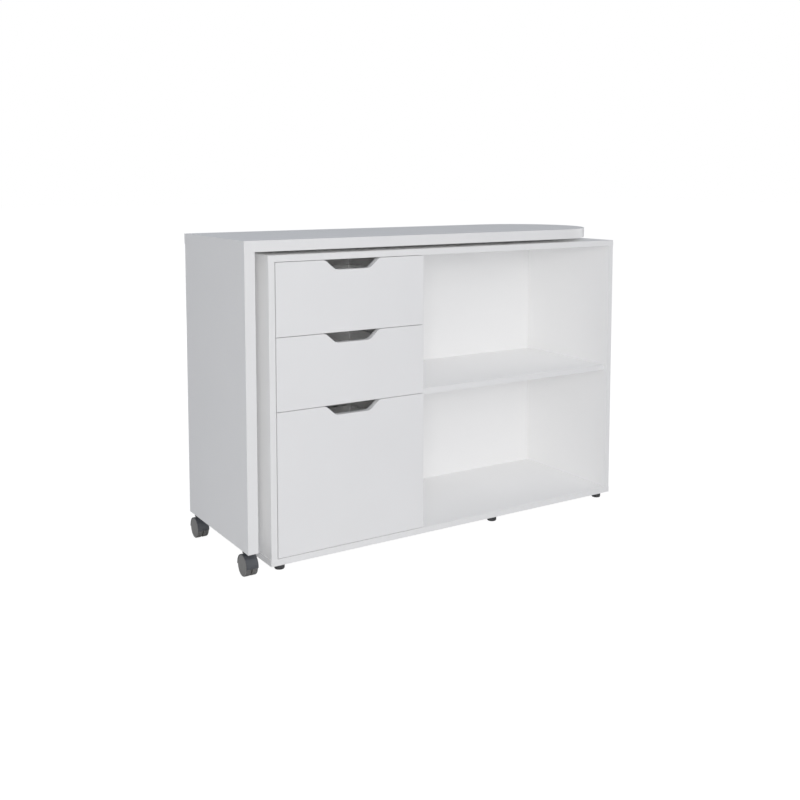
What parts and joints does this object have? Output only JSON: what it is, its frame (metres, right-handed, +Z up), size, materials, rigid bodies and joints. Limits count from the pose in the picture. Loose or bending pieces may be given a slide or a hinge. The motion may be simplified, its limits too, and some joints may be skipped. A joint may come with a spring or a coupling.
{
  "type": "swivel desk with drawer cabinet",
  "caption": "White desk with one round end and hooded casters that swivels out from over a low cabinet with drawers and an open shelf.",
  "frame": {"origin": "on the floor, under the centre of the object's bounding box", "axes": "+X from the desk's side panel towards its round end, +Y from the drawer fronts towards the back, +Z up"},
  "size_m": [1.122, 0.366, 0.77],
  "materials": {
    "white_board": "satin white melamine",
    "back_board": "satin white fibreboard",
    "drawer_board": "satin white melamine",
    "zinc_steel": "zinc plated",
    "black_plastic": "satin",
    "grey_plastic": "satin",
    "wheel_plastic": "satin"
  },
  "bodies": {
    "cabinet": {"cabinet_back": "back_board", "cabinet_bottom": "white_board", "cabinet_divider": "white_board", "cabinet_left_side": "white_board", "cabinet_right_side": "white_board", "cabinet_shelf": "white_board", "cabinet_top": "white_board", "foot_front_left": "black_plastic", "foot_front_middle": "black_plastic", "foot_front_right": "black_plastic", "foot_rear_left": "black_plastic", "foot_rear_middle": "black_plastic", "foot_rear_right": "black_plastic", "runner_1_left_fixed": "zinc_steel", "runner_1_right_fixed": "zinc_steel", "runner_2_left_fixed": "zinc_steel", "runner_2_right_fixed": "zinc_steel", "runner_3_left_fixed": "zinc_steel", "runner_3_right_fixed": "zinc_steel", "shelf_pin_front_left": "zinc_steel", "shelf_pin_front_right": "zinc_steel", "shelf_pin_rear_left": "zinc_steel", "shelf_pin_rear_right": "zinc_steel", "swivel_base": "zinc_steel"},
    "desk": {"caster_front_socket": "black_plastic", "caster_rear_socket": "black_plastic", "desk_side_panel": "white_board", "desk_top": "white_board", "swivel_plate": "zinc_steel"},
    "drawer_1": {"drawer_1_back": "drawer_board", "drawer_1_bottom": "drawer_board", "drawer_1_front": "white_board", "drawer_1_left_side": "drawer_board", "drawer_1_right_side": "drawer_board", "runner_1_left_slide": "zinc_steel", "runner_1_right_slide": "zinc_steel"},
    "drawer_2": {"drawer_2_back": "drawer_board", "drawer_2_bottom": "drawer_board", "drawer_2_front": "white_board", "drawer_2_left_side": "drawer_board", "drawer_2_right_side": "drawer_board", "runner_2_left_slide": "zinc_steel", "runner_2_right_slide": "zinc_steel"},
    "drawer_3": {"drawer_3_back": "drawer_board", "drawer_3_bottom": "drawer_board", "drawer_3_front": "white_board", "drawer_3_left_side": "drawer_board", "drawer_3_right_side": "drawer_board", "runner_3_left_slide": "zinc_steel", "runner_3_right_slide": "zinc_steel"},
    "caster_front": {"caster_front_axle": "zinc_steel", "caster_front_hood": "grey_plastic", "caster_front_stem": "zinc_steel"},
    "caster_rear": {"caster_rear_axle": "zinc_steel", "caster_rear_hood": "grey_plastic", "caster_rear_stem": "zinc_steel"},
    "wheel_front_left": {"caster_front_wheel_left": "wheel_plastic"},
    "wheel_front_right": {"caster_front_wheel_right": "wheel_plastic"},
    "wheel_rear_left": {"caster_rear_wheel_left": "wheel_plastic"},
    "wheel_rear_right": {"caster_rear_wheel_right": "wheel_plastic"}
  },
  "joints": [
    {"name": "desk_swivel", "type": "hinge", "parent": "cabinet", "child": "desk", "pos_m": [0.363, 0, 0.745], "axis": [0, 0, 1], "range_deg": [0, 180]},
    {"name": "drawer_1_slide", "type": "slide", "parent": "cabinet", "child": "drawer_1", "axis": [0, -1, 0], "range_m": [0, 0.22]},
    {"name": "drawer_2_slide", "type": "slide", "parent": "cabinet", "child": "drawer_2", "axis": [0, -1, 0], "range_m": [0, 0.22]},
    {"name": "drawer_3_slide", "type": "slide", "parent": "cabinet", "child": "drawer_3", "axis": [0, -1, 0], "range_m": [0, 0.22]},
    {"name": "caster_front_swivel", "type": "hinge", "parent": "desk", "child": "caster_front", "pos_m": [-0.546, -0.149, 0.0575], "axis": [0, 0, 1], "continuous": true},
    {"name": "wheel_front_left_spin", "type": "hinge", "parent": "caster_front", "child": "wheel_front_left", "pos_m": [-0.546, -0.154, 0.025], "axis": [1, 0, 0], "continuous": true},
    {"name": "wheel_front_right_spin", "type": "hinge", "parent": "caster_front", "child": "wheel_front_right", "pos_m": [-0.546, -0.154, 0.025], "axis": [1, 0, 0], "continuous": true},
    {"name": "caster_rear_swivel", "type": "hinge", "parent": "desk", "child": "caster_rear", "pos_m": [-0.546, 0.149, 0.0575], "axis": [0, 0, 1], "continuous": true},
    {"name": "wheel_rear_left_spin", "type": "hinge", "parent": "caster_rear", "child": "wheel_rear_left", "pos_m": [-0.546, 0.144, 0.025], "axis": [1, 0, 0], "continuous": true},
    {"name": "wheel_rear_right_spin", "type": "hinge", "parent": "caster_rear", "child": "wheel_rear_right", "pos_m": [-0.546, 0.144, 0.025], "axis": [1, 0, 0], "continuous": true}
  ]
}
